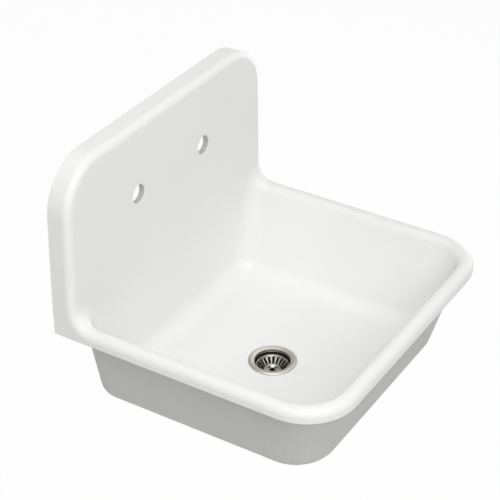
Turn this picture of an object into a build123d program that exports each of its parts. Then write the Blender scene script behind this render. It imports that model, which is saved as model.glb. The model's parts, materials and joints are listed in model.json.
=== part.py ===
"""Wall-hung composite sink with a high splashback and a basket strainer.

Millimetres, +Z up. The wall is the plane y = 0 and the sink stands out from it towards -Y.
The origin is the middle of the wall hanger's back face, where the sink is fastened.
"""
import os
from math import radians, tan

from build123d import *

os.makedirs("parts", exist_ok=True)

# Sink body, overall
width = 608.0
depth = 532.0
wall = 10.0
splash_rise = 297.0
splash_depth = 41.5
plate = 12.0
edge_r = 14.0

# Splashback outline
splash_corner_r = 92.0
splash_draw_in = 6.0
splash_straight = 60.0
splash_sweep_r = 700.0

# Rolled rim
rim_drop = 24.5
rim_width = 27.0
rim_corner_r = 94.0
mouth_r = 15.0
lip_edge_r = 3.0

# Basin
basin_deep = 175.0
draft = 13.5
front_corner_r = 68.0
back_corner_r = 36.0
floor_r = 32.0
tub_back_corner_r = 42.0
tub_floor_r = 38.0

# Faucet holes
faucet_spacing = 203.2
faucet_hole_r = 17.5
faucet_above_rim = 163.5
hole_edge_r = 1.5

# Wall hanger
hanger_below_top = 82.0
hanger_length = 360.0
hanger_height = 60.0
hanger_sheet = 3.0
hanger_reach = 16.0
hanger_lip = 14.0
hanger_bend_r = 2.0
screw_spacing_x = 300.0
screw_spacing_z = 32.0
screw_hole_r = 4.25
hook_play = 0.3
ledge_thick = 10.0
ledge_overhang = 20.0
ledge_over_lip = 2.0
ledge_fillet_r = 4.0
hook_off_wall = 4.0

# Drain, in the basin floor
drain_from_wall = 252.0
drain_hole_r = 36.0
recess_r = 46.0
recess_deep = 1.6
seal_thick = 1.0
flange_r = 44.5
flange_thick = 3.6
flange_edge = 1.8
flange_edge_r = 1.2
flange_crown_r = 41.5
flange_crown_round = 4.0
flange_dish = 1.8
bowl_mouth_r = 32.5
bowl_outer_r = 34.5
bowl_mouth_round = 1.5
bowl_low_r = 30.8
bowl_low_drop = 32.5
bowl_knuckle_r = 6.0
bowl_floor_r = 24.0
bowl_floor_drop = 34.0
bowl_bottom_drop = 42.0
bowl_bottom_r = 6.0
outlet_r = 17.0
outlet_drop = 36.0
outlet_sill = 3.0
neck_r = 23.9
neck_bore_r = 20.5
neck_length = 20.0
cross_arms = 4
cross_ring_r = 18.5
cross_arm_bite = 2.0
cross_arm_thick = 2.6
cross_arm_height = 5.0
hub_r = 6.0
hub_height = 8.0
hub_bore_r = 4.0

# Clamping rings under the floor
ring_play = 0.1
gasket_thick = 3.0
gasket_r = 48.0
friction_thick = 1.0
locknut_r = 46.0
locknut_height = 11.0
locknut_lugs = 6
lug_reach = 6.0
lug_width = 12.0
lug_chamfer = 1.0

# Tailpiece and its nut
tail_r = 19.05
tail_sheet = 1.3
tail_swell = 0.2
tail_length = 102.0
tail_flange_r = 23.5
tail_flange_thick = 1.5
tail_washer_thick = 2.0
coupling_across = 58.0
coupling_sides = 8
coupling_over_neck = 12.0
coupling_shoulder = 3.0
slide_play = 0.3

# Basket
basket_rim_drop = 11.1
basket_rim_r = 30.2
basket_rim_lip = 2.0
basket_rim_thick = 1.0
basket_floor_drop = 25.8
basket_floor_r = 16.0
basket_sheet = 1.0
basket_wall = 0.6
basket_slots = 20
slot_width = 3.0
slot_inner_r = 17.4
slot_outer_r = 27.4
turn_play = 0.05
gap = 0.3

# Post and what it carries
post_r = 2.95
stem_r = 2.6
collar_r = 5.0
collar_thick = 1.0
knob_top_drop = 13.3
knob_r = 5.3
knob_height = 3.2
knob_dome_r = 1.4
knob_socket_deep = 2.0
stopper_r = 20.5
stopper_face_r = 17.5
stopper_hub_r = 9.0
stopper_lip = 2.4
stopper_washer_r = 8.0
stopper_washer_thick = 0.8
post_nut_across = 8.0
post_nut_sides = 6
post_nut_height = 2.0
tip_below_hub = 2.0
tip_r = 2.5
tip_nose = 1.0
clip_slit = 1.4

# Heights and places that follow
tolerance = 0.01
rim_z = hanger_below_top - splash_rise
rim_low_z = rim_z - rim_drop
top_z = rim_z + splash_rise
floor_z = rim_z - basin_deep
underside_z = floor_z - wall
face_y = -splash_depth
plate_back_y = face_y + plate
faucet_z = rim_z + faucet_above_rim

shelf_z = hanger_height / 2
hanger_lip_y = hanger_sheet - hanger_reach
ledge_low_z = shelf_z + hanger_lip + ledge_over_lip
hook_front_y = hanger_lip_y + hook_play
hook_back_y = -hook_off_wall
hook_low_z = shelf_z + hook_play
ledge_half = hanger_length / 2 + ledge_overhang

drain_y = -drain_from_wall
drain_axis = Axis((0, drain_y, 0), (0, 0, 1))
drain_section = Plane.XZ.offset(drain_from_wall)
seat_z = floor_z - recess_deep
flange_low_z = seat_z + seal_thick
flange_z = flange_low_z + flange_thick
bowl_bottom_z = flange_z - bowl_bottom_drop
hub_top_z = flange_z - outlet_drop - outlet_sill
hub_low_z = hub_top_z - hub_height
neck_low_z = bowl_bottom_z - neck_length

friction_z = underside_z - gasket_thick
locknut_z = friction_z - friction_thick
tail_z = neck_low_z - tail_washer_thick
tail_flange_low_z = tail_z - tail_flange_thick
coupling_top_z = neck_low_z + coupling_over_neck
coupling_seat_z = tail_flange_low_z - gap
coupling_low_z = coupling_seat_z - coupling_shoulder
tail_straight_z = coupling_low_z - gap
tail_low_z = tail_z - tail_length

basket_rim_z = flange_z - basket_rim_drop
basket_floor_z = flange_z - basket_floor_drop
basket_under_z = basket_floor_z - basket_sheet
collar_low_z = basket_floor_z + gap
stopper_top_z = basket_under_z - gap
knob_top_z = flange_z - knob_top_drop
knob_low_z = knob_top_z - knob_height
bowl_slope = (outlet_drop - bowl_floor_drop) / (bowl_floor_r - outlet_r)
stopper_edge_z = flange_z - bowl_floor_drop - bowl_slope * (bowl_floor_r - stopper_r) + gap
stopper_low_z = stopper_edge_z - bowl_slope * (stopper_r - stopper_face_r)
washer_low_z = stopper_low_z - stopper_washer_thick
post_nut_low_z = washer_low_z - post_nut_height
tip_z = hub_low_z - tip_below_hub


def at_drain(z):
    """Level plane with its origin on the drain's axis."""
    return Plane((0, drain_y, z))


def corner_at(sketch, x, y):
    """The sketch's corner nearest to a point of its own plane."""
    return sketch.vertices().sort_by_distance((x, y))[0]


def splash_outline(inset):
    """Front view of the splashback, drawn in from its edge; the sides lean in towards the top."""
    half = width / 2 - inset
    high = top_z - inset
    low = rim_low_z + inset
    shoulder = rim_z + splash_straight
    with BuildSketch(Plane.XZ) as outline:
        with BuildLine():
            Polyline(
                (-half, low),
                (half, low),
                (half, shoulder),
                (half - splash_draw_in, high),
                (-half + splash_draw_in, high),
                (-half, shoulder),
                close=True,
            )
        make_face()
        levels = outline.vertices().group_by(Axis.Y)
        fillet(levels[-1], splash_corner_r - inset)
        fillet(levels[1], splash_sweep_r)
    return outline.sketch


def rim_outline(inset, back_y, z):
    """Plan of the rolled rim, drawn in from its outer edge."""
    half = width / 2 - inset
    front = -depth + inset
    with BuildSketch(Plane.XY.offset(z)) as outline:
        with BuildLine():
            Polyline((-half, back_y), (-half, front), (half, front), (half, back_y), close=True)
        make_face()
        fillet(outline.vertices().group_by(Axis.Y)[0], rim_corner_r - inset)
    return outline.sketch


def basin_plan(z, side_wall, back_wall, back_r):
    """Plan of the drafted basin at a height, grown outwards by its wall."""
    inset = rim_width + (rim_z - z) * tan(radians(draft)) - side_wall
    half = width / 2 - inset
    front = -depth + inset
    back = face_y + back_wall
    with BuildSketch(Plane.XY.offset(z)) as plan:
        with BuildLine():
            Polyline((-half, back), (-half, front), (half, front), (half, back), close=True)
        make_face()
        fillet(plan.vertices().group_by(Axis.Y)[0], front_corner_r + side_wall)
        if back_r > 0:
            fillet(plan.vertices().group_by(Axis.Y)[-1], back_r)
    return plan.sketch


# Outside of the tub, and a square-cornered block of it that the inside is moulded in
with BuildPart() as tub_outside:
    loft(
        [
            basin_plan(rim_z - wall, wall, plate, tub_back_corner_r),
            basin_plan(underside_z, wall, plate, tub_back_corner_r),
        ],
        ruled=True,
    )
    fillet(tub_outside.faces().sort_by(Axis.Z)[0].edges(), tub_floor_r)

with BuildPart() as tub_block:
    loft([basin_plan(rim_z - wall, wall, plate, 0), basin_plan(underside_z, wall, plate, 0)], ruled=True)

with BuildPart() as basin_inside:
    loft([basin_plan(rim_z, 0, 0, 0), basin_plan(floor_z, 0, 0, 0)], ruled=True)

# What is open below the rim: all round the tub, and the hollow of the rolled rim
with BuildPart() as below_rim:
    with BuildSketch(Plane.XY.offset(rim_low_z)):
        with Locations((0, -depth / 2)):
            Rectangle(width + 2 * wall, depth + 2 * wall)
    extrude(amount=underside_z - rim_low_z - wall)
    extrude(rim_outline(wall, face_y, rim_low_z), amount=rim_drop - wall)
    add(tub_outside.part, mode=Mode.SUBTRACT)

rim_edge = rim_outline(0, 0, rim_z).faces()[0].outer_wire()
splash_edge = splash_outline(0).faces()[0].outer_wire()


def on_rim_edge(edge):
    """True for an edge that lies over the rim's outline, at the rim's top or above it."""
    middle = edge @ 0.5
    if middle.Z < rim_z - tolerance or middle.Y > face_y + tolerance:
        return False
    return rim_edge.distance_to(Vertex(middle.X, middle.Y, rim_z)) < tolerance


def on_splash_edge(edge):
    """True for an edge of the splashback's face that lies on its outline."""
    middle = edge @ 0.5
    if abs(middle.Y - face_y) > tolerance or middle.Z < rim_z:
        return False
    return splash_edge.distance_to(Vertex(middle.X, 0, middle.Z)) < tolerance


def on_mouth(edge):
    """True for the sharp edge between the rim's top and the basin, but for its back."""
    middle = edge @ 0.5
    inside = rim_edge.distance_to(Vertex(middle.X, middle.Y, rim_z)) > tolerance
    return inside and middle.Y < face_y - tolerance


def on_lip_edge(edge):
    """True for an edge of the rim's underside that lies on its outline."""
    middle = edge @ 0.5
    if abs(middle.Z - rim_low_z) > tolerance or middle.Y > face_y:
        return False
    return rim_edge.distance_to(Vertex(middle.X, middle.Y, rim_z)) < tolerance


def in_back_corner(edge):
    """True for the hollow edges where the rim and the side walls meet the splashback's face."""
    ends = (edge @ 0, edge @ 0.5, edge @ 1)
    flat = all(abs(point.Y - face_y) < tolerance for point in ends)
    low = ends[1].Z < rim_z + tolerance and ends[1].Z > floor_z + tolerance
    return flat and low


# Tool for a faucet hole: a plain bore with a softened front edge
with BuildPart() as faucet_drill:
    with BuildSketch(Plane.XY):
        with BuildLine():
            Polyline(
                (faucet_hole_r + hole_edge_r, face_y),
                (0, face_y),
                (0, plate_back_y),
                (faucet_hole_r, plate_back_y),
                (faucet_hole_r, face_y + hole_edge_r),
            )
            RadiusArc(
                (faucet_hole_r, face_y + hole_edge_r),
                (faucet_hole_r + hole_edge_r, face_y),
                -hole_edge_r,
            )
        make_face()
    revolve(axis=Axis.Y)

with BuildPart() as sink_body:
    # Skin: splashback, rim and tub as one block, hollowed by the basin
    extrude(splash_outline(0), amount=splash_depth)
    extrude(rim_outline(0, 0, rim_low_z), amount=rim_drop)
    add(tub_block.part)
    add(basin_inside.part, mode=Mode.SUBTRACT)
    fillet(sink_body.edges().filter_by_position(Axis.Z, rim_z, rim_z).filter_by(on_mouth), mouth_r)
    fillet(sink_body.edges().filter_by(in_back_corner), back_corner_r)
    fillet(sink_body.edges().filter_by(lambda edge: on_rim_edge(edge) or on_splash_edge(edge)), edge_r)
    fillet(sink_body.edges().filter_by_position(Axis.Z, floor_z, floor_z), floor_r)
    # Outside of the shell
    add(below_rim.part, mode=Mode.SUBTRACT)
    extrude(splash_outline(wall), amount=splash_depth - plate, mode=Mode.SUBTRACT)
    fillet(sink_body.edges().filter_by(on_lip_edge), lip_edge_r)
    # Faucet holes
    with Locations((-faucet_spacing / 2, 0, faucet_z), (faucet_spacing / 2, 0, faucet_z)):
        add(faucet_drill.part, mode=Mode.SUBTRACT)
    # Drain hole, with a shallow seat for the flange
    with Locations((0, drain_y, floor_z)):
        CounterBoreHole(drain_hole_r, recess_r, recess_deep, depth=wall)
    # Ledge behind the splashback, whose lip drops behind the hanger's lip
    with BuildSketch(Plane.YZ.offset(-ledge_half)) as ledge:
        with BuildLine():
            Polyline(
                (plate_back_y - plate / 2, ledge_low_z),
                (hook_front_y, ledge_low_z),
                (hook_front_y, hook_low_z),
                (hook_back_y, hook_low_z),
                (hook_back_y, ledge_low_z + ledge_thick),
                (plate_back_y - plate / 2, ledge_low_z + ledge_thick),
                close=True,
            )
        make_face()
        fillet(corner_at(ledge, hook_back_y, ledge_low_z + ledge_thick), ledge_fillet_r)
    extrude(amount=2 * ledge_half)
sink_body.part.label = "sink_body"


# Pressed strip on the wall: flat plate, shelf and upturned lip
with BuildPart() as wall_hanger:
    with BuildSketch(Plane.YZ.offset(-hanger_length / 2)) as strip:
        with BuildLine():
            Polyline(
                (0, -hanger_height / 2),
                (0, shelf_z),
                (hanger_lip_y, shelf_z),
                (hanger_lip_y, shelf_z + hanger_lip),
                (-hanger_reach, shelf_z + hanger_lip),
                (-hanger_reach, shelf_z - hanger_sheet),
                (-hanger_sheet, shelf_z - hanger_sheet),
                (-hanger_sheet, -hanger_height / 2),
                close=True,
            )
        make_face()
        fillet(corner_at(strip, -hanger_reach, shelf_z - hanger_sheet), hanger_bend_r)
    extrude(amount=hanger_length)
    with BuildSketch(Plane.XZ):
        with GridLocations(screw_spacing_x, screw_spacing_z, 2, 2):
            Circle(screw_hole_r)
    extrude(amount=hanger_sheet, mode=Mode.SUBTRACT)
wall_hanger.part.label = "wall_hanger"


# Ring of sealant between the flange and the floor
with BuildPart() as flange_seal:
    with BuildSketch(at_drain(seat_z)):
        Circle(flange_r)
        Circle(drain_hole_r, mode=Mode.SUBTRACT)
    extrude(amount=seal_thick)
flange_seal.part.label = "flange_seal"


# Drain body: flange, bowl and neck turned as one
with BuildPart() as strainer_body:
    with BuildSketch(drain_section) as half_section:
        with BuildLine():
            Polyline(
                (bowl_mouth_r, flange_z - flange_dish),
                (bowl_low_r, flange_z - bowl_low_drop),
                (bowl_floor_r, flange_z - bowl_floor_drop),
                (outlet_r, flange_z - outlet_drop),
                (outlet_r, hub_top_z),
                (neck_bore_r, hub_top_z),
                (neck_bore_r, neck_low_z),
                (neck_r, neck_low_z),
                (neck_r, bowl_bottom_z),
                (bowl_outer_r, bowl_bottom_z),
                (bowl_outer_r, flange_low_z),
                (flange_r, flange_low_z),
                (flange_r, flange_low_z + flange_edge),
                (flange_crown_r, flange_z),
                close=True,
            )
        make_face()
        fillet(corner_at(half_section, bowl_low_r, flange_z - bowl_low_drop), bowl_knuckle_r)
        fillet(corner_at(half_section, bowl_outer_r, bowl_bottom_z), bowl_bottom_r)
        fillet(corner_at(half_section, bowl_mouth_r, flange_z - flange_dish), bowl_mouth_round)
        fillet(corner_at(half_section, flange_crown_r, flange_z), flange_crown_round)
        fillet(corner_at(half_section, flange_r, flange_low_z + flange_edge), flange_edge_r)
    revolve(axis=drain_axis)
strainer_body.part.label = "strainer_body"


# Cross pressed into the neck, up against the outlet's sill, with a hub for the post's clip
with BuildPart() as drain_cross:
    with BuildSketch(at_drain(hub_top_z)):
        Circle(neck_bore_r - ring_play)
        Circle(cross_ring_r, mode=Mode.SUBTRACT)
        with PolarLocations((hub_bore_r + cross_ring_r) / 2, cross_arms):
            Rectangle(cross_ring_r - hub_bore_r + cross_arm_bite, cross_arm_thick)
    extrude(amount=-cross_arm_height)
    with BuildSketch(at_drain(hub_top_z)):
        Circle(hub_r)
    extrude(amount=-hub_height)
    with BuildSketch(at_drain(hub_top_z)):
        Circle(hub_bore_r)
    extrude(amount=-hub_height, mode=Mode.SUBTRACT)
drain_cross.part.label = "drain_cross"


# Rubber ring, fibre ring and lugged nut that clamp the drain body to the floor
with BuildPart() as body_gasket:
    with BuildSketch(at_drain(underside_z)):
        Circle(gasket_r)
        Circle(bowl_outer_r + ring_play, mode=Mode.SUBTRACT)
    extrude(amount=-gasket_thick)
body_gasket.part.label = "body_gasket"

with BuildPart() as friction_washer:
    with BuildSketch(at_drain(friction_z)):
        Circle(gasket_r)
        Circle(bowl_outer_r + ring_play, mode=Mode.SUBTRACT)
    extrude(amount=-friction_thick)
friction_washer.part.label = "friction_washer"

with BuildPart() as locknut:
    with BuildSketch(at_drain(locknut_z)):
        Circle(locknut_r)
        with PolarLocations(locknut_r, locknut_lugs):
            Rectangle(2 * lug_reach, lug_width)
        Circle(bowl_outer_r + ring_play, mode=Mode.SUBTRACT)
    extrude(amount=-locknut_height)
    chamfer(locknut.faces().sort_by(Axis.Z)[0].outer_wire().edges(), lug_chamfer)
locknut.part.label = "locknut"


# Outlet: washer, flanged tube and the nut that draws its flange up
with BuildPart() as tailpiece_washer:
    with BuildSketch(at_drain(neck_low_z)):
        Circle(tail_flange_r)
        Circle(neck_bore_r, mode=Mode.SUBTRACT)
    extrude(amount=-tail_washer_thick)
tailpiece_washer.part.label = "tailpiece_washer"

with BuildPart() as tailpiece:
    with BuildSketch(at_drain(tail_z)):
        Circle(tail_flange_r)
    extrude(amount=-tail_flange_thick)
    with BuildSketch(at_drain(tail_flange_low_z)):
        Circle(tail_r + tail_swell)
    with BuildSketch(at_drain(tail_straight_z)):
        Circle(tail_r)
    loft()
    with BuildSketch(at_drain(tail_straight_z)):
        Circle(tail_r)
    extrude(amount=tail_low_z - tail_straight_z)
    with BuildSketch(at_drain(tail_z)):
        Circle(tail_r - tail_sheet)
    extrude(amount=tail_low_z - tail_z, mode=Mode.SUBTRACT)
tailpiece.part.label = "tailpiece"

with BuildPart() as coupling_nut:
    with BuildSketch(at_drain(coupling_top_z)):
        RegularPolygon(coupling_across / 2, coupling_sides, major_radius=False)
    extrude(amount=coupling_low_z - coupling_top_z)
    with BuildSketch(at_drain(coupling_top_z)):
        Circle(neck_r + ring_play)
    extrude(amount=coupling_seat_z - coupling_top_z, mode=Mode.SUBTRACT)
    with BuildSketch(at_drain(coupling_seat_z)):
        Circle(tail_r + slide_play)
    extrude(amount=-coupling_shoulder, mode=Mode.SUBTRACT)
coupling_nut.part.label = "coupling_nut"


# Split spring sleeve in the hub, which grips the post
with BuildPart() as post_clip:
    with BuildSketch(at_drain(hub_top_z)):
        Circle(hub_bore_r - turn_play)
        Circle(tip_r + turn_play, mode=Mode.SUBTRACT)
        with Locations((hub_bore_r, 0)):
            Rectangle(2 * hub_bore_r, clip_slit, mode=Mode.SUBTRACT)
    extrude(amount=-hub_height)
post_clip.part.label = "post_clip"


# Basket: flared cup turned from sheet, with radial slots in its side
with BuildPart() as basket_cup:
    with BuildSketch(drain_section):
        with BuildLine():
            Polyline(
                (post_r + turn_play, basket_floor_z),
                (basket_floor_r, basket_floor_z),
                (basket_rim_r - basket_rim_lip, basket_rim_z),
                (basket_rim_r, basket_rim_z),
                (basket_rim_r, basket_rim_z - basket_rim_thick),
                (basket_rim_r - basket_rim_lip + basket_wall, basket_rim_z - basket_rim_thick),
                (basket_floor_r + basket_wall, basket_under_z),
                (post_r + turn_play, basket_under_z),
                close=True,
            )
        make_face()
    revolve(axis=drain_axis)
    with BuildSketch(at_drain(basket_rim_z)):
        with PolarLocations((slot_inner_r + slot_outer_r) / 2, basket_slots):
            SlotOverall(slot_outer_r - slot_inner_r, slot_width)
    extrude(amount=basket_under_z - basket_rim_z, mode=Mode.SUBTRACT)
basket_cup.part.label = "basket_cup"


# Post: stem, collar above the cup's floor, journal, thread and tip
with BuildPart() as basket_post:
    with BuildSketch(drain_section):
        with BuildLine():
            Polyline(
                (0, knob_low_z + knob_socket_deep),
                (stem_r, knob_low_z + knob_socket_deep),
                (stem_r, collar_low_z + collar_thick),
                (collar_r, collar_low_z + collar_thick),
                (collar_r, collar_low_z),
                (post_r, collar_low_z),
                (post_r, post_nut_low_z),
                (tip_r, post_nut_low_z),
                (tip_r, tip_z + tip_nose),
                (tip_r - tip_nose, tip_z),
                (0, tip_z),
                close=True,
            )
        make_face()
    revolve(axis=drain_axis)
basket_post.part.label = "basket_post"

with BuildPart() as post_knob:
    with BuildSketch(at_drain(knob_low_z)):
        Circle(knob_r)
    extrude(amount=knob_height)
    fillet(post_knob.faces().sort_by(Axis.Z)[-1].edges(), knob_dome_r)
    with BuildSketch(at_drain(knob_low_z)):
        Circle(stem_r + turn_play)
    extrude(amount=knob_socket_deep, mode=Mode.SUBTRACT)
post_knob.part.label = "post_knob"

with BuildPart() as stopper:
    with BuildSketch(drain_section) as bell:
        with BuildLine():
            Polyline(
                (post_r + turn_play, stopper_top_z),
                (stopper_hub_r, stopper_top_z),
                (stopper_hub_r, stopper_edge_z + 2 * stopper_lip),
                (stopper_r, stopper_edge_z + stopper_lip),
                (stopper_r, stopper_edge_z),
                (stopper_face_r, stopper_low_z),
                (post_r + turn_play, stopper_low_z),
                close=True,
            )
        make_face()
        fillet(corner_at(bell, stopper_hub_r, stopper_edge_z + 2 * stopper_lip), stopper_lip)
    revolve(axis=drain_axis)
stopper.part.label = "stopper"

with BuildPart() as stopper_washer:
    with BuildSketch(at_drain(stopper_low_z)):
        Circle(stopper_washer_r)
        Circle(post_r + turn_play, mode=Mode.SUBTRACT)
    extrude(amount=-stopper_washer_thick)
stopper_washer.part.label = "stopper_washer"

with BuildPart() as post_nut:
    with BuildSketch(at_drain(washer_low_z)):
        RegularPolygon(post_nut_across / 2, post_nut_sides, major_radius=False)
        Circle(post_r + turn_play, mode=Mode.SUBTRACT)
    extrude(amount=-post_nut_height)
post_nut.part.label = "post_nut"


pieces = [
    sink_body,
    wall_hanger,
    flange_seal,
    strainer_body,
    drain_cross,
    body_gasket,
    friction_washer,
    locknut,
    tailpiece_washer,
    tailpiece,
    coupling_nut,
    post_clip,
    basket_cup,
    basket_post,
    post_knob,
    stopper,
    stopper_washer,
    post_nut,
]
for piece in pieces:
    export_step(piece.part, f"parts/{piece.part.label}.step")
    print(piece.part.label, len(piece.part.solids()), "solid,", round(piece.part.volume / 1000, 1), "cm3")
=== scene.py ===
# %% [markdown]
# # A wall-hung composite sink, dressed for its portrait
# The measured model already has every piece at its real size and place. This file keeps that
# model as a fixed frame and adds what a measured model lacks: smooth skins, turned edges, screw
# threads, surface finishes, light and a camera. The origin is on the wall behind the splashback,
# with +X to the right, +Y into the wall and +Z up. Everything is in metres, apart from the
# sections of the drain's pieces and their threads, which are in millimetres.

# %% Load the frame
import json
from math import cos, hypot, pi, radians, sin

import bmesh
import bpy
from mathutils import Matrix, Vector

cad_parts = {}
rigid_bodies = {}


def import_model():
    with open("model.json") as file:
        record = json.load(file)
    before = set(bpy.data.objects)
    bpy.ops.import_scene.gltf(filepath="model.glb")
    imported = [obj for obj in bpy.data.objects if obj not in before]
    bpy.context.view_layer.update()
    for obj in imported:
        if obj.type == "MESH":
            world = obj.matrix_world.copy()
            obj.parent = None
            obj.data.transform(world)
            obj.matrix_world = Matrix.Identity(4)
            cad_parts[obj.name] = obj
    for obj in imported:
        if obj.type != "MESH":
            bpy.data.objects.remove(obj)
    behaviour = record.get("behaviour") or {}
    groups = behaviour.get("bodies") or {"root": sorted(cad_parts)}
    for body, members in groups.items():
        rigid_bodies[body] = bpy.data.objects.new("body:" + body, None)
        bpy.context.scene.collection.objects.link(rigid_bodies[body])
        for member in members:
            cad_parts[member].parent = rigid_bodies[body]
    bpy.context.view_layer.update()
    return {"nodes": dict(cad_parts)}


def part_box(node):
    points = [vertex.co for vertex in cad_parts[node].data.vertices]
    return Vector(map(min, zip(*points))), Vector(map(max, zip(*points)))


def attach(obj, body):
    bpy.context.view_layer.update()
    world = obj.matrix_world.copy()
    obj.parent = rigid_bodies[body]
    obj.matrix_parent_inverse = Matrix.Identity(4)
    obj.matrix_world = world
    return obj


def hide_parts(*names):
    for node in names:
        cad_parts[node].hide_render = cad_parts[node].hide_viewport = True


for leftover in list(bpy.data.objects):
    bpy.data.objects.remove(leftover)
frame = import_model()
nodes = frame["nodes"]
scene = bpy.context.scene
scene.view_settings.view_transform = "Standard"
MM = 0.001


def placed(name, data):
    """A new object in the scene, at the origin."""
    piece = bpy.data.objects.new(name, data)
    scene.collection.objects.link(piece)
    return piece


print("loaded", len(nodes), "nodes")

# %% [markdown]
# ## Node trees
# Every finish below is a small tree of shader nodes, and every repeated form is a small tree of
# geometry nodes. Links could be drawn one by one, but a helper that adds one node, sets its
# options and joins its inputs keeps each tree readable: it is then a few lines of plain calls.

# %% Helpers for nodes


def join(tree, node, inputs):
    """Sets inputs of a node. Each is a value, or a socket to link from."""
    for name, value in inputs.items():
        socket = node.inputs[name]
        if isinstance(value, bpy.types.NodeSocket):
            tree.links.new(value, socket)
        else:
            socket.default_value = value


def add_node(tree, kind, inputs=None, **options):
    """A new node with its options and its inputs set."""
    node = tree.nodes.new(kind)
    for name, value in options.items():
        setattr(node, name, value)
    join(tree, node, inputs or {})
    return node


def maths(tree, operation, first, second):
    """What one operation makes of two values."""
    node = add_node(tree, "ShaderNodeMath", {0: first, 1: second}, operation=operation)
    return node.outputs["Value"]


def new_tree(name, kind, inputs, outputs):
    """A node tree with named sockets, and the sockets that its inputs come out of."""
    tree = bpy.data.node_groups.new(name, kind)
    for way, sockets in (("INPUT", inputs), ("OUTPUT", outputs)):
        for label, holds in sockets.items():
            tree.interface.new_socket(label, in_out=way, socket_type="NodeSocket" + holds)
    return tree, add_node(tree, "NodeGroupInput").outputs


def bare_tree(owner):
    """The node tree of a material or a world, emptied."""
    owner.use_nodes = True
    owner.node_tree.nodes.clear()
    return owner.node_tree


def new_material(name):
    """A node material, its tree and its Principled shader, which is joined to the output."""
    material = bpy.data.materials.new(name)
    tree = bare_tree(material)
    shader = add_node(tree, "ShaderNodeBsdfPrincipled")
    add_node(tree, "ShaderNodeOutputMaterial", {"Surface": shader.outputs["BSDF"]})
    return material, tree, shader


# %% [markdown]
# ## Smooth skins over the measured solids
# A measured solid arrives as loose flat triangles. On a glossy piece each flat triangle shows in
# the reflections. The shape itself is right, so a copy is welded into one skin, its triangles are
# merged where they lie in one plane, it is shaded smooth between its real corners, and it gets
# new normals. On the sink large faces rule these normals, which keeps its flat faces flat right
# up to the roll of each edge. On a round fitting all faces count alike, or a tube would show its
# strips. The copy then stands for the solid. Cast and pressed pieces have no knife edges either,
# so their skins also get a fine bevel.

# %% Weld, smooth and seat a copy of a solid
WELD = 0.00001
CORNER = radians(32)
FLAT = radians(0.5)
EVEN, LARGE_FACES = 50, 100
BEVEL_STEPS = 2


def plain(draft, name):
    """The evaluated shape of an object as a plain mesh object, in the draft's place."""
    depsgraph = bpy.context.evaluated_depsgraph_get()
    mesh = bpy.data.meshes.new_from_object(
        draft.evaluated_get(depsgraph), preserve_all_data_layers=True, depsgraph=depsgraph)
    mesh.name = name
    old = draft.data
    bpy.data.objects.remove(draft)
    bpy.data.meshes.remove(old)
    return placed(name, mesh)


def smooth_skin(node, name, bevel=0.0, keep_flat=EVEN):
    """A welded, smoothly shaded copy of a node's mesh, with its sharp edges broken."""
    mesh = nodes[node].data.copy()
    bm = bmesh.new()
    bm.from_mesh(mesh)
    bmesh.ops.remove_doubles(bm, verts=bm.verts, dist=WELD)
    bmesh.ops.dissolve_degenerate(bm, edges=bm.edges, dist=WELD)
    bmesh.ops.dissolve_limit(bm, angle_limit=FLAT, verts=bm.verts, edges=bm.edges)
    bm.to_mesh(mesh)
    bm.free()
    mesh.shade_smooth()
    mesh.set_sharp_from_angle(angle=CORNER)
    draft = placed(name + "_draft", mesh)
    if bevel > 0:
        broken = draft.modifiers.new("broken_edges", "BEVEL")
        broken.width = bevel
        broken.segments = BEVEL_STEPS
        broken.angle_limit = CORNER
        broken.use_clamp_overlap = True
    weighted = draft.modifiers.new("weighted", "WEIGHTED_NORMAL")
    weighted.keep_sharp = True
    weighted.weight = keep_flat
    return plain(draft, name)


def dress(piece, body, slot, material, *stands_for):
    """Gives a piece its finish, seats it on its body and puts it in the place of its solids."""
    piece.data.materials.clear()
    piece.data.materials.append(material)
    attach(piece, body)
    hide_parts(*stands_for)


# %% [markdown]
# ## The white composite
# The sink is cast from mineral-filled resin in a mould, and only the mould's side is sprayed with
# a glossy gel coat: the splashback's face, the rolled rim and the basin. The outside of the tub,
# the hollow under the rim and the back stay as cast, greyer and matt. A camera tells the two apart
# at once, so each face of the skin is first marked with the side it lies on. The mark is an
# attribute of the mesh, so one material can read it and blend its two finishes.

# %% Mark the faces that stay as cast
sink_low, sink_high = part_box("sink_body")
HALF_WIDTH, DEPTH = sink_high[0], -sink_low[1]
RIM_CORNER = 0.094
RIM_TOP, RIM_LOW = -0.215, -0.2395
PLATE_FACE, PLATE_BACK = -0.0415, -0.0295
LIP_ROUND = 0.0035
SHELL, SHELL_PLAY = 0.010, 0.0007
SLAB_MIDDLE = -0.08
LEDGE_END, LEDGE_TOP = 0.201, 0.060
HOLE_X, HOLE_Z, HOLE_REACH = 0.1016, -0.0515, 0.020
FACING = 0.1


def from_outline(x, y):
    """How far a point lies inside the rim's outline, seen from above."""
    past_x = abs(x) - HALF_WIDTH + RIM_CORNER
    past_y = -y - DEPTH + RIM_CORNER
    if past_x > 0 and past_y > 0:
        return RIM_CORNER - hypot(past_x, past_y)
    return min(HALF_WIDTH - abs(x), DEPTH + y)


def as_cast(centre, normal):
    """True for a face that the gel coat doesn't reach."""
    x, y, z = centre
    if hypot(abs(x) - HOLE_X, z - HOLE_Z) < HOLE_REACH and normal.y < FACING:
        return normal.y > -FACING
    if from_outline(x, y) < LIP_ROUND and RIM_LOW - WELD < z < RIM_TOP:
        return False
    if normal.z < -FACING or normal.y > FACING and y > PLATE_FACE + WELD:
        return True
    if y > PLATE_BACK - WELD:
        inwards = normal.x * x + normal.z * (z - SLAB_MIDDLE) < 0
        return inwards or abs(x) < LEDGE_END and z < LEDGE_TOP
    upright_under_rim = RIM_LOW - WELD < z < RIM_TOP - SHELL + WELD and abs(normal.z) < FACING
    return upright_under_rim and abs(from_outline(x, y) - SHELL) < SHELL_PLAY


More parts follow.
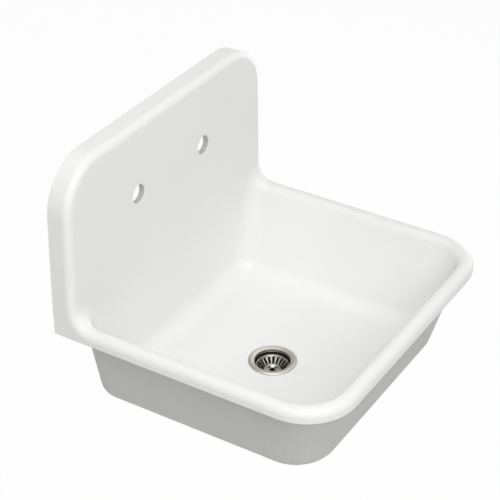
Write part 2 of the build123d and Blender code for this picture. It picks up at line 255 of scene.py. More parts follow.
def mark_as_cast(piece):
    """Stores 1 on the faces that stay as cast and 0 on the others, and counts them."""
    mesh = piece.data
    mark = mesh.attributes.new("as_cast", "FLOAT", "FACE")
    for face in mesh.polygons:
        mark.data[face.index].value = float(as_cast(face.center, face.normal))
    return sum(round(item.value) for item in mark.data)


shell = smooth_skin("sink_body", "sink_shell", keep_flat=LARGE_FACES)
marked = mark_as_cast(shell)
print("sink shell:", len(shell.data.polygons), "faces,", marked, "as cast")

# %% [markdown]
# ## What finishes are made of
# A real surface is never one flat value. Nearly every finish below takes a soft noise at the
# point's own place on the piece, stretches it to a range of gloss or runs it through a ramp
# between two near shades, and blends two such values by a mask. Painted pictures could do the
# same, but a noise has no seams, needs no unwrapping and stays sharp at any distance.

# %% Helpers for finishes


def coordinates(tree):
    """A point's own place on the piece, in metres."""
    return add_node(tree, "ShaderNodeTexCoord").outputs["Object"]


def noise(tree, place, scale, detail):
    """A soft random grey from 0 to 1, with a finer grain where the scale is higher."""
    return add_node(tree, "ShaderNodeTexNoise",
                    {"Vector": place, "Scale": scale, "Detail": detail}).outputs["Fac"]


def spread(tree, value, ends):
    """A value that runs from 0 to 1, stretched between two others."""
    return add_node(tree, "ShaderNodeMapRange",
                    {"Value": value, "To Min": ends[0], "To Max": ends[1]}).outputs["Result"]


def mix(tree, mask, value, other, holds="FLOAT"):
    """A value, place or colour that turns into another one where the mask is 1."""
    return add_node(tree, "ShaderNodeMix", {"Factor": mask, "A": value, "B": other},
                    data_type=holds).outputs["Result"]


def two_shades(tree, amount, shades, low=0.35, high=0.65):
    """A ramp between two colours."""
    ramp = add_node(tree, "ShaderNodeValToRGB", {"Fac": amount})
    for element, shade, position in zip(ramp.color_ramp.elements, shades, (low, high)):
        element.position = position
        element.color = (*shade, 1)
    return ramp.outputs["Color"]


# %% [markdown]
# ## Gel coat and cast resin
# Close up a gel coat is not a perfect mirror: it has a faint orange-peel ripple, its gloss varies
# a little where it has been wiped, and its white drifts very slightly between warm and cool. Three
# noise scales give these three things, and none of them is strong enough to read as a pattern. The
# cast side has a coarser, sandy grain in its height and its colour. Each noise below is named with
# its scale and its detail.

# %% Composite finish
GEL_SHADES = (0.868, 0.871, 0.860), (0.890, 0.890, 0.880)
CAST_SHADES = (0.575, 0.585, 0.565), (0.640, 0.645, 0.620)
GEL_GLOSS, CAST_GLOSS = (0.19, 0.26), (0.55, 0.75)
DRIFT, WIPED, PEEL, SAND = (3.0, 3.0), (14.0, 4.0), (260.0, 1.0), (420.0, 5.0)
RELIEF = 0.03, 0.14
COATED, COAT_BLUR = (0.08, 0.0), 0.12
RESIN_SHINE = 0.22


def composite_material():
    """Gel coat where the skin is marked 0, and cast resin where it is marked 1."""
    material, tree, shader = new_material("white_composite")
    coords = coordinates(tree)
    cast = add_node(tree, "ShaderNodeAttribute", attribute_name="as_cast").outputs["Fac"]
    drift, wiped, peel, sand = [noise(tree, coords, *kind) for kind in (DRIFT, WIPED, PEEL, SAND)]
    ripple = add_node(tree, "ShaderNodeBump",
                      {"Height": mix(tree, cast, peel, sand),
                       "Strength": spread(tree, cast, RELIEF), "Distance": MM})
    join(tree, shader, {
        "Base Color": mix(tree, cast, two_shades(tree, drift, GEL_SHADES),
                          two_shades(tree, sand, CAST_SHADES), "RGBA"),
        "Roughness": mix(tree, cast, spread(tree, wiped, GEL_GLOSS),
                         spread(tree, sand, CAST_GLOSS)),
        "Normal": ripple.outputs["Normal"],
        "Coat Weight": spread(tree, cast, COATED),
        "Coat Roughness": COAT_BLUR,
        "Specular IOR Level": RESIN_SHINE,
    })
    return material


composite = composite_material()
dress(shell, "root", "composite", composite, "sink_body")
print("composite:", len(composite.node_tree.nodes), "nodes")

# %% [markdown]
# ## Turned metal
# The drain body, basket and post are spun or turned, so their brushing runs in fine rings round
# the drain's axis. The group below measures each point's distance from that axis and its height,
# and feeds those two to a noise with only a trace of the angle, so the streaks run round as the
# tool did and not along the world's axes. Heights in the drain count from the flange's top as it
# is before its crown is rounded, about a quarter of a millimetre over the finished one.

# %% Ring-brushing group
CROWN_CUT = 0.00023
drain_low, drain_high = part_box("strainer_body")
DRAIN_Y = (drain_low[1] + drain_high[1]) / 2
FLANGE_TOP = drain_high[2] + CROWN_CUT
STREAK_DETAIL, STREAKS_FROM, STREAKS_TO = 3.0, 0.3, 0.7
ROUND_SHARE = 0.0006
GROOVE = 0.0004


def ring_brushing_group():
    """Brushed rings round the drain's axis, and each point's radius and height."""
    group, entry = new_tree(
        "ring_brushing", "ShaderNodeTree",
        {"Rings": "Float", "Low gloss": "Float", "High gloss": "Float", "Depth": "Float"},
        {"Roughness": "Float", "Streaks": "Float", "Radius": "Float", "Height": "Float",
         "Normal": "Vector"})
    centred = add_node(group, "ShaderNodeMapping",
                       {"Vector": coordinates(group), "Location": (0, -DRAIN_Y, 0)})
    x, y, z = add_node(group, "ShaderNodeSeparateXYZ",
                       {"Vector": centred.outputs["Vector"]}).outputs
    level = add_node(group, "ShaderNodeCombineXYZ", {"X": x, "Y": y, "Z": 0.0})
    radius = add_node(group, "ShaderNodeVectorMath", {0: level.outputs["Vector"]},
                      operation="LENGTH").outputs["Value"]
    around = maths(group, "MULTIPLY", maths(group, "ARCTAN2", y, x), ROUND_SHARE)
    along = add_node(group, "ShaderNodeCombineXYZ", {"X": radius, "Y": z, "Z": around})
    streaks = noise(group, along.outputs["Vector"], entry["Rings"], STREAK_DETAIL)
    gloss = add_node(group, "ShaderNodeMapRange",
                     {"Value": streaks, "From Min": STREAKS_FROM, "From Max": STREAKS_TO,
                      "To Min": entry["Low gloss"], "To Max": entry["High gloss"]})
    groove = add_node(group, "ShaderNodeBump",
                      {"Height": streaks, "Strength": entry["Depth"], "Distance": GROOVE})
    add_node(group, "NodeGroupOutput",
             {"Roughness": gloss.outputs["Result"], "Streaks": streaks, "Radius": radius,
              "Height": z, "Normal": groove.outputs["Normal"]})
    return group


ring_brushing = ring_brushing_group()


def turned_metal(name, shades, rings, gloss, depth, shaded=None):
    """A metal brushed in rings round the drain's axis, a little lighter along some rings."""
    material, tree, shader = new_material(name)
    low, high = gloss
    group = add_node(tree, "ShaderNodeGroup",
                     {"Rings": rings, "Low gloss": low, "High gloss": high, "Depth": depth},
                     node_tree=ring_brushing).outputs
    colour = two_shades(tree, group["Streaks"], shades)
    if shaded:
        colour = shaded(tree, group, colour)
    join(tree, shader, {"Base Color": colour, "Metallic": 1.0, "Roughness": group["Roughness"],
                        "Normal": group["Normal"]})
    return material


print("ring brushing:", len(ring_brushing.nodes), "nodes, axis at y =", round(DRAIN_Y, 4))

# %% [markdown]
# ## Nickel in and out of the light
# The flange is satin nickel that daylight reaches from every side. Inside the bowl the same metal
# is polished and sees mostly its own dark walls, and that shade is painted into its colour: its
# grey goes down with depth. A mask made of a point's height and its distance from the axis does
# that in one
# piece: bright at the flange, painted near black in the bowl, and bright again outside. The basket
# has the same kind of mask. Its ribs are polished and mirror the dark bowl, and that dark
# reflection is painted into their colour as a near-black grey. Its floor and its rim are satin.

# %% Nickel finishes
# Painted shade inside the drain's bowl starts at the first height and is full at the second.
BOWL_SHADE_STARTS, BOWL_SHADE_FULL = FLANGE_TOP - 0.0032, FLANGE_TOP - 0.0075
BOWL_WALL, BOWL_END = 0.0333, FLANGE_TOP - 0.040
BLUR = 0.0003
FLOOR_ENDS, RIM_STARTS = 0.0175, 0.0278
NICKEL_SHADES = (0.39, 0.375, 0.335), (0.50, 0.485, 0.44)
# Painted shade: the near-black colour that stands for the shade inside the drain's bowl.
BOWL_PAINTED_SHADE = (0.045, 0.042, 0.034, 1)
# Painted reflection: the ribs' near-black grey stands for the dark bowl that they mirror.
RIB_PAINTED_REFLECTION = (0.14, 0.135, 0.125), (0.21, 0.205, 0.19)
SATIN_FLOOR = (0.36, 0.35, 0.32, 1)
# Painted shade: the nickel post is coloured near black for the shade inside the basket.
POST_PAINTED_SHADE = (0.035, 0.033, 0.030), (0.06, 0.057, 0.050)
KNOB_SHADES = (0.72, 0.71, 0.68), (0.80, 0.79, 0.76)


def fade(tree, value, nought, one):
    """A mask that goes from 0 to 1 between two values."""
    return add_node(tree, "ShaderNodeMapRange",
                    {"Value": value, "From Min": nought, "From Max": one}).outputs["Result"]


def painted_shade_in_the_bowl(tree, group, satin):
    """Satin nickel with painted shade inside the drain's bowl, darker with depth."""
    deep = fade(tree, group["Height"], BOWL_SHADE_STARTS, BOWL_SHADE_FULL)
    within = fade(tree, group["Radius"], BOWL_WALL, BOWL_WALL - BLUR)
    above = fade(tree, group["Height"], BOWL_END, BOWL_END + BLUR)
    inside = maths(tree, "MULTIPLY", within, above)
    return mix(tree, maths(tree, "MULTIPLY", deep, inside), satin, BOWL_PAINTED_SHADE, "RGBA")


def ribs_in_painted_reflection(tree, group, mirror):
    """Polished nickel with a painted dark reflection on the ribs, satin on the basket's floor and
    rim.
    """
    floor = fade(tree, group["Radius"], FLOOR_ENDS, FLOOR_ENDS - MM)
    rim = fade(tree, group["Radius"], RIM_STARTS, RIM_STARTS + MM)
    return mix(tree, maths(tree, "MAXIMUM", floor, rim), mirror, SATIN_FLOOR, "RGBA")


nickel = turned_metal("satin_nickel_painted_dark_in_bowl", NICKEL_SHADES, rings=1500.0, gloss=(0.26, 0.40), depth=0.25,
                      shaded=painted_shade_in_the_bowl)
basket_nickel = turned_metal("polished_nickel_painted_dark_on_ribs", RIB_PAINTED_REFLECTION, rings=1200.0, gloss=(0.10, 0.16),
                             depth=0.06, shaded=ribs_in_painted_reflection)
# The post's nickel, painted near black with shade.
shaded_post_nickel = turned_metal("nickel_in_painted_shade", POST_PAINTED_SHADE, rings=1500.0, gloss=(0.22, 0.30), depth=0.06)
knob_nickel = turned_metal("knob_nickel", KNOB_SHADES, rings=900.0, gloss=(0.22, 0.30), depth=0.05)
print("nickel in four polishes, dark from", round(BOWL_SHADE_STARTS, 4), "to", round(BOWL_SHADE_FULL, 4))

# %% [markdown]
# ## The plumber's metals
# Under the floor the tube and its coupling nut are bright chrome, the locknut and the cross in
# the neck are plain zinc castings, and the post's clip and nut are brass. All of them stand round
# the same axis, so the same brushing serves them, shiny and almost without streaks on the tube,
# coarse and dull on the castings.

# %% Chrome, zinc and brass
TUBE_SHADES = (0.455, 0.46, 0.465), (0.475, 0.48, 0.485)
ZINC_SHADES = (0.44, 0.45, 0.47), (0.54, 0.55, 0.57)
BRASS_SHADES = (0.62, 0.46, 0.20), (0.72, 0.55, 0.26)
bright = turned_metal("polished_tube", TUBE_SHADES, rings=700.0, gloss=(0.05, 0.10), depth=0.05)
zinc = turned_metal("zinc_casting", ZINC_SHADES, rings=500.0, gloss=(0.38, 0.50), depth=0.30)
brass = turned_metal("turned_brass", BRASS_SHADES, rings=1500.0, gloss=(0.25, 0.35), depth=0.20)
print("plumber's metals:", bright.name, zinc.name, brass.name)

# %% [markdown]
# ## Rubber, sealant and washers
# The hidden rings are soft goods of the plumber's kind. Each has a plain moulded surface with a
# fine grain. Only the colour, the size of the grain and the gloss differ, so one helper serves
# them all.

# %% Moulded finishes
GRAIN_DETAIL, GRAIN_STRENGTH, GRAIN_HEIGHT = 4.0, 0.2, 0.0003
RUBBER_SHADES = (0.010, 0.010, 0.011), (0.032, 0.032, 0.033)
SEALANT_SHADES = (0.72, 0.72, 0.70), (0.78, 0.78, 0.76)
POLY_SHADES = (0.68, 0.68, 0.66), (0.78, 0.78, 0.76)
FIBRE_SHADES = (0.14, 0.045, 0.03), (0.24, 0.08, 0.05)


def moulded(name, shades, scale, gloss):
    """A moulded surface with a fine, even grain."""
    material, tree, shader = new_material(name)
    grain = noise(tree, coordinates(tree), scale, GRAIN_DETAIL)
    bump = add_node(tree, "ShaderNodeBump",
                    {"Height": grain, "Strength": GRAIN_STRENGTH, "Distance": GRAIN_HEIGHT})
    join(tree, shader, {"Base Color": two_shades(tree, grain, shades),
                        "Roughness": spread(tree, grain, gloss), "Normal": bump.outputs["Normal"]})
    return material


rubber = moulded("black_rubber", RUBBER_SHADES, scale=900.0, gloss=(0.45, 0.65))
sealant = moulded("white_sealant", SEALANT_SHADES, scale=300.0, gloss=(0.35, 0.5))
poly = moulded("poly_washer", POLY_SHADES, scale=500.0, gloss=(0.3, 0.45))
fibre = moulded("red_fibre", FIBRE_SHADES, scale=1200.0, gloss=(0.7, 0.9))
print("moulded finishes:", rubber.name, sealant.name, poly.name, fibre.name)

# %% [markdown]
# ## Galvanised sheet
# The hanger is pressed from steel that was dipped in molten zinc, and zinc cools in large flat
# crystals. A Voronoi pattern gives each crystal its own grey and its own gloss. Its cells have
# straight sides, so the pattern is bent a little by a noise first.

# %% Galvanised finish
SHEET_SHADES = (0.42, 0.44, 0.46), (0.60, 0.62, 0.64)
SHEET_GLOSS, SHEET_METAL = (0.30, 0.48), 0.9
CRYSTALS = 95.0
BENDS, BEND_DETAIL, BEND_SHARE = 60.0, 3.0, 0.02


def galvanised_sheet():
    """Zinc crystals, each with its own grey and gloss."""
    material, tree, shader = new_material("galvanised_sheet")
    coords = coordinates(tree)
    bend = add_node(tree, "ShaderNodeTexNoise",
                    {"Vector": coords, "Scale": BENDS, "Detail": BEND_DETAIL})
    wavy = mix(tree, BEND_SHARE, coords, bend.outputs["Color"], "VECTOR")
    crystals = add_node(tree, "ShaderNodeTexVoronoi", {"Vector": wavy, "Scale": CRYSTALS})
    tone = add_node(tree, "ShaderNodeSeparateColor", {"Color": crystals.outputs["Color"]}).outputs
    join(tree, shader, {"Base Color": two_shades(tree, tone["Red"], SHEET_SHADES, 0.0, 1.0),
                        "Roughness": spread(tree, tone["Green"], SHEET_GLOSS),
                        "Metallic": SHEET_METAL})
    return material


galvanised = galvanised_sheet()
print("galvanised sheet:", len(galvanised.node_tree.nodes), "nodes")

# %% [markdown]
# ## Turned pieces
# A lathe is the honest way to make a drain: draw half of its section, spin it once round the axis
# and every edge comes out as round as it is on the real piece. The outline is a closed loop of
# radius and drop below the flange's top, in millimetres, and a corner with a third number is
# rounded by that radius before it is spun.

# %% Draw and spin a section
STEPS = 144
ARC_STEPS = 5
ON_AXIS = 0.001
TURNED_CORNER = radians(40)


def rounded(outline):
    """The outline's points, with each corner that has a radius turned into an arc."""
    points = []
    for i, corner in enumerate(outline):
        here = Vector(corner[:2])
        if len(corner) < 3:
            points.append(here)
            continue
        radius = corner[2]
        before = (Vector(outline[i - 1][:2]) - here).normalized()
        after = (Vector(outline[(i + 1) % len(outline)][:2]) - here).normalized()
        half_angle = before.angle(after) / 2
        middle = here + (before + after).normalized() * (radius / sin(half_angle))
        reach = radius * cos(half_angle) / sin(half_angle)
        first = (here + before * reach - middle).normalized()
        last = (here + after * reach - middle).normalized()
        for step in range(ARC_STEPS + 1):
            points.append(middle + first.slerp(last, step / ARC_STEPS) * radius)
    return points


def spun(bm, outline):
    """Adds the closed outline, spun round the drain's axis, to a mesh being built."""
    rings = []
    for radius, drop in rounded(outline):
        reach, z = radius * MM, FLANGE_TOP - drop * MM
        if radius < ON_AXIS:
            rings.append([bm.verts.new((0, DRAIN_Y, z))])
            continue
        rings.append([bm.verts.new((reach * cos(2 * pi * k / STEPS),
                                    DRAIN_Y + reach * sin(2 * pi * k / STEPS), z))
                      for k in range(STEPS)])
    faces = []
    for i, ring in enumerate(rings):
        other = rings[(i + 1) % len(rings)]
        if len(ring) == 1 and len(other) == 1:
            continue
        for k in range(STEPS):
            following = (k + 1) % STEPS
            loop = [ring[k % len(ring)], ring[following % len(ring)],
                    other[following % len(other)], other[k % len(other)]]
            faces.append(bm.faces.new(dict.fromkeys(loop)))
    bmesh.ops.recalc_face_normals(bm, faces=faces)


def finished_mesh(bm, name, corner=TURNED_CORNER):
    """The mesh as an object at the origin, smooth between its corners."""
    mesh = bpy.data.meshes.new(name)
    bm.to_mesh(mesh)
    bm.free()
    mesh.shade_smooth()
    mesh.set_sharp_from_angle(angle=corner)
    return placed(name, mesh)


def turned(name, *outlines):
    """A piece made of spun outlines."""
    bm = bmesh.new()
    for outline in outlines:
        spun(bm, outline)
    return finished_mesh(bm, name)


# %% [markdown]
# ## Screw threads
# A thread is a small ridge on a helix. Curve Spiral draws the helix, and Curve to Mesh sweeps a
# three-sided section along it. The root of the ridge sits just inside the turned wall, so the two
# closed shapes meet without a gap.

# %% Tree that winds a thread
RIDGE, RIDGE_STANDS, RIDGE_SIDES = 1.1, 0.35, 3
PITCH, HELIX_STEPS = 2.2, 96


def thread_tree():
    """A geometry tree that winds a three-sided ridge round the drain's axis."""
    tree, entry = new_tree(
        "wound_thread", "GeometryNodeTree",
        {"Radius": "Float", "Length": "Float", "Low end": "Float", "Turns": "Float",
         "Finish": "Material"}, {"Thread": "Geometry"})
    helix = add_node(tree, "GeometryNodeCurveSpiral",
                     {"Resolution": HELIX_STEPS, "Rotations": entry["Turns"],
                      "Start Radius": entry["Radius"], "End Radius": entry["Radius"],
                      "Height": entry["Length"]})
    section = add_node(tree, "GeometryNodeCurvePrimitiveCircle",
                       {"Resolution": RIDGE_SIDES, "Radius": RIDGE * MM})
    ridge = add_node(tree, "GeometryNodeCurveToMesh",
                     {"Curve": helix.outputs["Curve"], "Profile Curve": section.outputs["Curve"],
                      "Fill Caps": True})
    place = add_node(tree, "ShaderNodeCombineXYZ", {"X": 0.0, "Y": DRAIN_Y, "Z": entry["Low end"]})
    moved = add_node(tree, "GeometryNodeTransform",
                     {"Geometry": ridge.outputs["Mesh"], "Translation": place.outputs["Vector"]})
    real = add_node(tree, "GeometryNodeRealizeInstances", {"Geometry": moved.outputs["Geometry"]})
    painted = add_node(tree, "GeometryNodeSetMaterial",
                       {"Geometry": real.outputs["Geometry"], "Material": entry["Finish"]})
    add_node(tree, "NodeGroupOutput", {"Thread": painted.outputs["Geometry"]})
    return tree


def set_inputs(modifier, values):
    """Sets a tree's named inputs by the identifiers of their sockets."""
    for item in modifier.node_group.interface.items_tree:
        if item.in_out == "INPUT" and item.name in values:
            modifier[item.identifier] = values[item.name]


wound_thread = thread_tree()


def thread(name, material, root, high, low):
    """A ridge wound round a wall of that radius, between two drops, in millimetres."""
    seed = placed(name + "_seed", bpy.data.meshes.new(name + "_seed"))
    modifier = seed.modifiers.new("wind", "NODES")
    modifier.node_group = wound_thread
    set_inputs(modifier, {"Radius": (root + RIDGE_STANDS) * MM, "Length": (low - high) * MM,
                          "Low end": FLANGE_TOP - low * MM, "Turns": (low - high) / PITCH,
                          "Finish": material})
    return plain(seed, name)


print("thread tree:", len(wound_thread.nodes), "nodes")

# %% [markdown]
# ## The drain body
# One spun piece: a satin flange that rises to a soft crown and dips to the mouth, a short upright
# lip that the light catches, a bowl that tapers to its floor, and a neck. The neck is threaded for
# the coupling nut, and the outside of the bowl for the locknut, so two wound ridges are joined to
# the spun wall.

# %% Drain body
BOWL_ROOT, NECK_ROOT = 33.8, 23.2
FLANGE_UNDER, BOWL_FOOT, NECK_END = 3.6, 42.0, 62.0
DRAIN_BODY = (
    (44.5, 3.55), (44.5, 2.3, 1.2), (41.2, 0.0, 3.0), (34.2, 2.1, 1.0), (33.5, 2.3, 0.6),
    (33.0, 6.2, 0.4), (32.2, 6.8, 0.5), (30.8, 32.5, 6.0), (24.0, 34.0), (17.0, 36.0, 0.6),
    (17.0, 39.0), (20.5, 39.0), (20.5, NECK_END, 0.3), (NECK_ROOT, NECK_END, 0.5),
    (NECK_ROOT, BOWL_FOOT, 0.8), (BOWL_ROOT, BOWL_FOOT, 6.0), (BOWL_ROOT, 5.0), (34.5, 5.0),
    (34.5, FLANGE_UNDER), (44.2, FLANGE_UNDER, 0.1),
)


def joined(name, first, *others):
    """One mesh object out of several plain ones."""
    bm = bmesh.new()
    for part in (first, *others):
        bm.from_mesh(part.data)
        bpy.data.objects.remove(part)
    return finished_mesh(bm, name)


drain_body = joined("drain_body", turned("drain_body_spun", DRAIN_BODY),
                    thread("bowl_thread", nickel, root=BOWL_ROOT, high=14.0, low=34.5),
                    thread("neck_thread", nickel, root=NECK_ROOT, high=45.0, low=60.5))
dress(drain_body, "root", "nickel", nickel, "strainer_body")
print("drain body:", len(drain_body.data.polygons), "faces")

# %% [markdown]
# ## Repeats round the drain
# The basket's ribs stand at equal turns round the axis. They could be modelled one by one, but
# Geometry Nodes makes them all from one copy: a point for each, an instance turned by its share
# of the circle, then real mesh. The form, the count and the finish are named inputs of the tree,
# so a change of the count is one number.

# %% Tree that repeats a form round the axis


def repeat_tree():
    """A geometry tree that repeats a form at equal turns round the drain's axis."""
    tree, entry = new_tree(
        "repeat_round", "GeometryNodeTree",
        {"Form": "Geometry", "Count": "Int", "Finish": "Material"}, {"Ring": "Geometry"})
    points = add_node(tree, "GeometryNodePoints", {"Count": entry["Count"]})
    index = add_node(tree, "GeometryNodeInputIndex").outputs["Index"]
    angle = maths(tree, "MULTIPLY", index, maths(tree, "DIVIDE", 2 * pi, entry["Count"]))
    turn = add_node(tree, "ShaderNodeCombineXYZ", {"Z": angle})
    copies = add_node(tree, "GeometryNodeInstanceOnPoints",
                      {"Points": points.outputs["Points"], "Instance": entry["Form"],
                       "Rotation": turn.outputs["Vector"]})
    real = add_node(tree, "GeometryNodeRealizeInstances", {"Geometry": copies.outputs["Instances"]})
    moved = add_node(tree, "GeometryNodeTransform",
                     {"Geometry": real.outputs["Geometry"], "Translation": (0, DRAIN_Y, 0)})
    painted = add_node(tree, "GeometryNodeSetMaterial",
                       {"Geometry": moved.outputs["Geometry"], "Material": entry["Finish"]})
    add_node(tree, "NodeGroupOutput", {"Ring": painted.outputs["Geometry"]})
    return tree


repeat_round = repeat_tree()


def ring_of(form, count, material, name):
    """The form, repeated round the drain's axis, as one plain mesh object."""
    modifier = form.modifiers.new("repeat", "NODES")
    modifier.node_group = repeat_round
    set_inputs(modifier, {"Count": count, "Finish": material})
    return plain(form, name)


print("repeat tree:", len(repeat_round.nodes), "nodes")

# %% [markdown]
# ## The basket
# Two spun rings, the rolled rim and the floor, are joined by 20 ribs, and what lies between two
# ribs is a slot. Each rib is pressed slightly round, so a thin highlight runs down it. One rib is
# built as a strip that widens outwards with a curved face, and the tree above repeats it.

# %% Basket
RIBS, SLOT = 20, 3.1
RIB_FOOT, RIB_HEAD, RIB_STEPS = 17.2, 26.9, 6
RIB_CROWN, RIB_SHEET, RIB_CORNER = 0.45, 0.7, radians(50)
ACROSS = (-1.0, -0.8, -0.45, 0.0, 0.45, 0.8, 1.0)
RIM_DROP, CONE_STARTS, CONE_FOOT = 11.1, 12.0, 24.8
CONE_RADIUS, FOOT_RADIUS = 28.2, 16.0
SLOPE = (CONE_FOOT - RIM_DROP) / (CONE_RADIUS - FOOT_RADIUS)
RIM_INNER, FLOOR_OUTER, SHEET = 26.6, 17.6, 0.6
FLOOR_TOP, FLOOR_LOW = 25.8, 26.8


def cup_drop(radius):
    """How far the cup's inner face lies below the flange's top at a radius."""
    return CONE_STARTS + (CONE_RADIUS - radius) * SLOPE


def rib():
    """One rib of the basket, on the +X side of the axis, as an object."""
    bm = bmesh.new()
    rows = []
    lean = Vector((SLOPE, 1.0)).normalized()
    for step in range(RIB_STEPS + 1):
        radius = RIB_FOOT + (RIB_HEAD - RIB_FOOT) * step / RIB_STEPS
        drop = cup_drop(radius)
        half = (2 * pi * radius / RIBS - SLOT) / 2
        row = []
        for share in ACROSS:
            crown = RIB_CROWN * (1 - share * share)
            row.append((radius - lean.x * crown, half * share, -drop + lean.y * crown))
        for share in reversed(ACROSS):
            row.append((radius + lean.x * RIB_SHEET, half * share, -drop - lean.y * RIB_SHEET))
        rows.append([bm.verts.new((x * MM, y * MM, FLANGE_TOP + z * MM)) for x, y, z in row])
    for low, high in zip(rows, rows[1:]):
        for k in range(len(low)):
            other = (k + 1) % len(low)
            bm.faces.new((low[k], low[other], high[other], high[k]))
    bm.faces.new(rows[0])
    bm.faces.new(rows[-1])
    bmesh.ops.recalc_face_normals(bm, faces=bm.faces)
    return finished_mesh(bm, "rib", RIB_CORNER)


BASKET_RIM = (
    (30.2, 11.5, 0.4), (29.6, 10.9, 0.5), (28.6, RIM_DROP, 0.5), (CONE_RADIUS, CONE_STARTS, 0.4),
    (RIM_INNER, cup_drop(RIM_INNER)), (27.1, cup_drop(RIM_INNER) + SHEET), (28.9, 12.6, 0.4),
    (30.0, 12.5, 0.3),
)
BASKET_FLOOR = (
    (FLOOR_OUTER, cup_drop(FLOOR_OUTER)), (16.2, FLOOR_TOP, 1.2), (6.6, FLOOR_TOP, 0.8),
    (5.6, 25.3, 0.5), (3.0, 25.3), (3.0, FLOOR_LOW), (15.9, FLOOR_LOW, 1.2),
    (18.1, cup_drop(FLOOR_OUTER) + SHEET),
)
basket = joined("basket", turned("basket_rings", BASKET_RIM, BASKET_FLOOR),
                ring_of(rib(), RIBS, basket_nickel, "basket_ribs"))
dress(basket, "basket", "nickel", basket_nickel, "basket_cup")
print("basket:", RIBS, "ribs,", len(basket.data.polygons), "faces")

# %% [markdown]
# ## Post and knob
# The post runs from the knob through the basket's floor and the rubber stopper to the clip in the
# cross. The knob is a small polished button, and it is what the eye finds first in the drain. Both
# are turned on the real thing, so both are spun here, and they meet at the top of the post.

# %% Post and knob
POST_TOP, COLLAR = 14.6, 5.0
POST = (
    (0.0, POST_TOP), (2.6, POST_TOP, 0.2), (2.6, 24.3, 0.3), (COLLAR, 24.5, 0.2), (COLLAR, 25.4),
    (2.95, 25.5), (2.95, 38.3), (2.5, 38.3, 0.1), (2.5, 48.0, 0.2), (1.5, 49.0), (0.0, 49.0),
)
KNOB = (
    (0.0, 13.3), (2.6, 13.3, 2.0), (4.6, 13.9, 0.8), (5.3, 14.9, 0.7), (5.1, 16.2, 0.4),
    (3.2, 16.5, 0.3), (2.5, 16.2), (2.5, POST_TOP), (0.0, POST_TOP),
)
for node, outline, material in (("basket_post", POST, shaded_post_nickel),
                                ("post_knob", KNOB, knob_nickel)):
    piece = turned(node + "_turned", outline)
    dress(piece, "post", "nickel", material, node)
    print(piece.name, len(piece.data.polygons), "faces")

# %% [markdown]
# ## Rings, nuts and the tube
# These pieces are plain solids of revolution or pressed and cast shapes, which the measured model
# already has at their full detail. Their skins get broken edges, as a casting or a pressing has.
# The last number in each row is the width of that edge, in metres.

# %% Skins of the fittings
FITTINGS = (
    ("wall_hanger", "root", "zinc_steel", galvanised, 0.0005),
    ("drain_cross", "root", "nickel", zinc, 0.0004),
    ("body_gasket", "root", "rubber", rubber, 0.0008),
    ("friction_washer", "root", "fibre", fibre, 0.0002),
    ("locknut", "root", "zinc_steel", zinc, 0.0008),
    ("tailpiece_washer", "root", "poly_washer", poly, 0.0003),
    ("tailpiece", "root", "chrome_tube", bright, 0.0003),
    ("coupling_nut", "root", "chrome_tube", bright, 0.0006),
    ("post_clip", "root", "brass", brass, 0.0001),
    ("stopper", "post", "rubber", rubber, 0.0003),
    ("stopper_washer", "post", "nickel", basket_nickel, 0.0001),
    ("post_nut", "post", "brass", brass, 0.0003),
)
for node, carrier, slot, material, bevel in FITTINGS:
    dress(smooth_skin(node, node + "_skin", bevel=bevel), carrier, slot, material, node)
print("fittings:", len(FITTINGS))

# %% [markdown]
# ## The bead of sealant
# A fitter beds the flange on sealant and wipes off what squeezes out, which leaves a thin bead
# that fills the seat up to the basin's floor. It is spun like the drain body, and it starts at the
# flange's underside.

# %% Sealant bead
BEAD_INNER, BEAD_OUTER = 36.0, 45.95
BEAD = (
    (BEAD_INNER, FLANGE_UNDER), (44.3, FLANGE_UNDER), (44.6, 3.25), (45.3, 3.05), (BEAD_OUTER, 3.0),
    (BEAD_OUTER, 4.55), (BEAD_INNER, 4.6),
)
bead = turned("sealant_bead", BEAD)
dress(bead, "root", "sealant", sealant, "flange_seal")
print("sealant bead:", len(bead.data.polygons), "faces")

# %% [markdown]
# ## Floor and world
# The photograph has a plain white ground. A wide floor lies where the floor of the room would be,
# and both it and the world show white to the camera and in reflections, while the lamps stay at a
# plain level on the object itself. A brighter lamp would whiten the ground too, but it would burn
# out the sink with it.

# %% Floor and world
FLOOR_Z, FLOOR_REACH = -1.05, 30.0
FLOOR_PAPER, FLOOR_GLOW = (0.95, 0.95, 0.95, 1), 0.97
WHITE = (1, 1, 1, 1)
WORLD_LEVEL = 0.1


def whitened(tree):
    """A mask that is 1 for camera, glossy and transmission rays."""
    rays = add_node(tree, "ShaderNodeLightPath").outputs
    seen = maths(tree, "MAXIMUM", rays["Is Camera Ray"], rays["Is Glossy Ray"])
    return maths(tree, "MAXIMUM", seen, rays["Is Transmission Ray"])


def white_floor():
    """A floor that shows white and keeps a trace of the object's shadow."""
    corners = [(FLOOR_REACH * x, FLOOR_REACH * y, FLOOR_Z)
               for x, y in ((-1, -1), (1, -1), (1, 1), (-1, 1))]
    mesh = bpy.data.meshes.new("floor")
    mesh.from_pydata(corners, [], [(0, 1, 2, 3)])
    material = bpy.data.materials.new("white_floor")
    tree = bare_tree(material)
    paper = add_node(tree, "ShaderNodeBsdfDiffuse", {"Color": FLOOR_PAPER})
    glow = add_node(tree, "ShaderNodeEmission", {"Color": WHITE, "Strength": 1.0})
    surface = add_node(tree, "ShaderNodeMixShader",
                       {0: maths(tree, "MULTIPLY", whitened(tree), FLOOR_GLOW),
                        1: paper.outputs["BSDF"], 2: glow.outputs["Emission"]})
    add_node(tree, "ShaderNodeOutputMaterial", {"Surface": surface.outputs["Shader"]})
    mesh.materials.append(material)
    floor = placed("floor", mesh)
    return floor


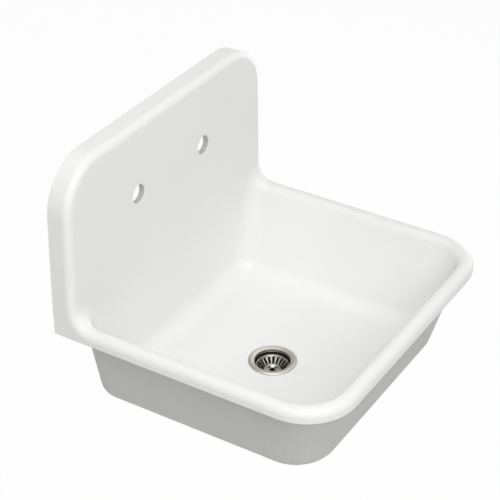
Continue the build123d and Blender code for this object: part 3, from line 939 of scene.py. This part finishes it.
def white_world(level):
    """A world that shows white and lights the object at a low level."""
    world = bpy.data.worlds.new("studio")
    scene.world = world
    tree = bare_tree(world)
    sky = add_node(tree, "ShaderNodeBackground",
                   {"Color": WHITE, "Strength": spread(tree, whitened(tree), (level, 1.0))})
    add_node(tree, "ShaderNodeOutputWorld", {"Surface": sky.outputs["Background"]})


floor = white_floor()
white_world(WORLD_LEVEL)
print("floor:", floor.name, "at z =", FLOOR_Z)

# %% [markdown]
# ## Lamps
# In the photograph soft light comes from all round, most of it from the front left and above. One
# lamp with a strong fill could give the direction, but not the slow change of grey along the
# walls of the basin. Ten large square lamps of low power stand round the sink, turned to its
# middle, so no hard shadow falls in the basin. Each one's power was found by lighting the sink
# with that lamp alone and weighing the pictures against each other.

# %% Studio lamps
MIDDLE = (0.0, -0.25, -0.25)
BOX_SIZE = 1.8
LAMPS = (
    ("overhead", (0.0, -0.3, 2.4), 6.0),
    ("over_the_wall", (0.0, 0.9, 1.9), 4.0),
    ("behind", (-0.5, 2.4, 0.9), 16.0),
    ("left_high", (-1.5, -0.4, 1.8), 13.5),
    ("left", (-2.4, -0.4, 0.3), 8.0),
    ("front_left", (-1.2, -1.7, 1.5), 32.5),
    ("front_high", (0.2, -2.0, 1.5), 5.5),
    ("front", (0.2, -2.6, 0.1), 5.5),
    ("right_high", (1.6, -0.5, 1.7), 6.5),
    ("right", (2.4, -0.6, 0.2), 13.5),
)


def softbox(name, place, aim, size, watts):
    """A square area lamp turned towards a point."""
    data = bpy.data.lights.new(name, "AREA")
    data.shape = "SQUARE"
    data.size = size
    data.energy = watts
    lamp = placed(name, data)
    lamp.location = place
    lamp.rotation_euler = (Vector(place) - Vector(aim)).to_track_quat("Z", "Y").to_euler()


for name, place, watts in LAMPS:
    softbox(name, place, MIDDLE, BOX_SIZE, watts)
print("lamps:", len(LAMPS), "with", sum(watts for _, _, watts in LAMPS), "watts in all")

# %% [markdown]
# ## Camera
# The camera was solved from the photograph: the sink's outline, its faucet holes and its drain
# agree with a long lens seen from the front left and above. The numbers below are that
# solution, with the view turned and raised about a point near the middle of the sink.

# %% Camera
AZIMUTH, ELEVATION, ROLL = radians(-58.51), radians(32.96), radians(0.15)
TARGET = Vector((0.0, -0.25, -0.175))
DISTANCE = 2.780
SLIDE_RIGHT, SLIDE_UP = -0.0399, 0.0202
FOCAL_PIXELS, FRAME_PIXELS, SENSOR = 1588.8, 500.0, 36.0

back = Vector((sin(AZIMUTH) * cos(ELEVATION), -cos(AZIMUTH) * cos(ELEVATION), sin(ELEVATION)))
level_right = Vector((0, 0, 1)).cross(back).normalized()
level_up = back.cross(level_right)
right = level_right * cos(ROLL) + level_up * sin(ROLL)
up = level_up * cos(ROLL) - level_right * sin(ROLL)
camera_data = bpy.data.cameras.new("camera")
camera_data.sensor_width = SENSOR
camera_data.lens = FOCAL_PIXELS / FRAME_PIXELS * SENSOR
camera = placed("camera", camera_data)
stand = TARGET + back * DISTANCE + right * SLIDE_RIGHT + up * SLIDE_UP
turn = Matrix((right, up, back)).transposed().to_4x4()
camera.matrix_world = Matrix.Translation(stand) @ turn
scene.camera = camera
print("camera: a lens of", round(camera_data.lens, 1), "mm")
